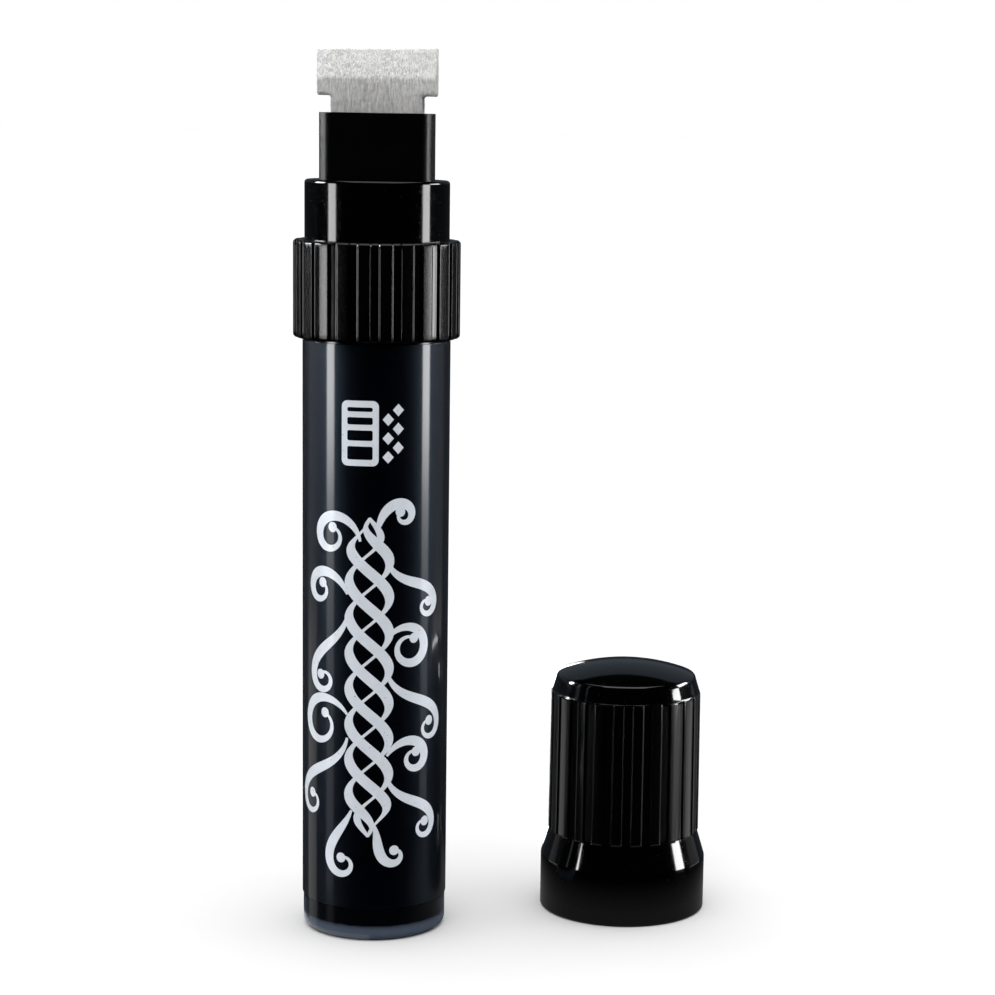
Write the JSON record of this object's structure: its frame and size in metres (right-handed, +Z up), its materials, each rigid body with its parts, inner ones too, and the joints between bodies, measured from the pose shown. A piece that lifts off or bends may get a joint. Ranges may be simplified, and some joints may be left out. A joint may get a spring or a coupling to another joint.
{
  "type": "calligraphy marker",
  "caption": "Wide felt nib calligraphy marker with smoked ink barrel, ribbed screw collar and press-to-feed valve nib, its ribbed cap standing beside it.",
  "frame": {"origin": "centre of the marker's flat base, on the surface that marker and cap stand on", "axes": "+Z up along the barrel towards the nib; -Y is the side that the nib's wide face looks at; +X towards the cap"},
  "size_m": [0.0716, 0.0428, 0.1496],
  "materials": {
    "smoked_tube": "clear smoked moulded plastic, polished",
    "label_film": "glossy near-black shrunk film",
    "silver_print": "silver screen print on the film",
    "ink": "dark liquid ink seen through the tube",
    "gloss_black": "glossy moulded plastic",
    "grain_black": "fine moulded grain on the ribs",
    "satin_black": "satin moulded plastic",
    "nib_felt": "pressed light grey felt, upright fibres",
    "inner_plastic": "natural white moulded plastic",
    "seal_rubber": "soft black seal",
    "steel": "bright steel"
  },
  "bodies": {
    "barrel": {"barrel": "smoked_tube", "label_sleeve": "label_film"},
    "ball": {"mixing_ball": "steel"},
    "head": {"neck": "gloss_black", "mouth_gasket": "seal_rubber", "nib_holder": "satin_black", "spring_cage": "inner_plastic", "valve_spring": "steel"},
    "collar": {"grip_collar": "grain_black"},
    "nib": {"nib": "nib_felt", "valve_stem": "inner_plastic", "valve_seal": "seal_rubber"},
    "cap": {"cap_shell": "gloss_black", "cap_liner": "inner_plastic", "cap_seal": "seal_rubber"}
  },
  "joints": [
    {"name": "head_lift", "type": "slide", "parent": "barrel", "child": "head", "axis": [0, 0, 1], "range_m": [0, 0.00825]},
    {"name": "collar_turn", "type": "hinge", "parent": "head", "child": "collar", "pos_m": [0, 0, 0.11], "axis": [0, 0, 1], "range_deg": [0, 990]},
    {"name": "nib_press", "type": "slide", "parent": "head", "child": "nib", "axis": [0, 0, -1], "range_m": [0, 0.0024], "stiffness_N_per_m": 500, "springref_m": -0.002, "deforming": ["valve_spring"]},
    {"name": "ball_travel", "type": "slide", "parent": "barrel", "child": "ball", "axis": [0, 0, 1], "range_m": [0, 0.093]},
    {"name": "cap_lift", "type": "slide", "parent": "barrel", "child": "cap", "axis": [0, 0, 1], "range_m": [0, 0.16]}
  ],
  "couplings": [
    {"joint": "collar_turn", "follows": "head_lift", "rad_per_m": 2094.4}
  ]
}
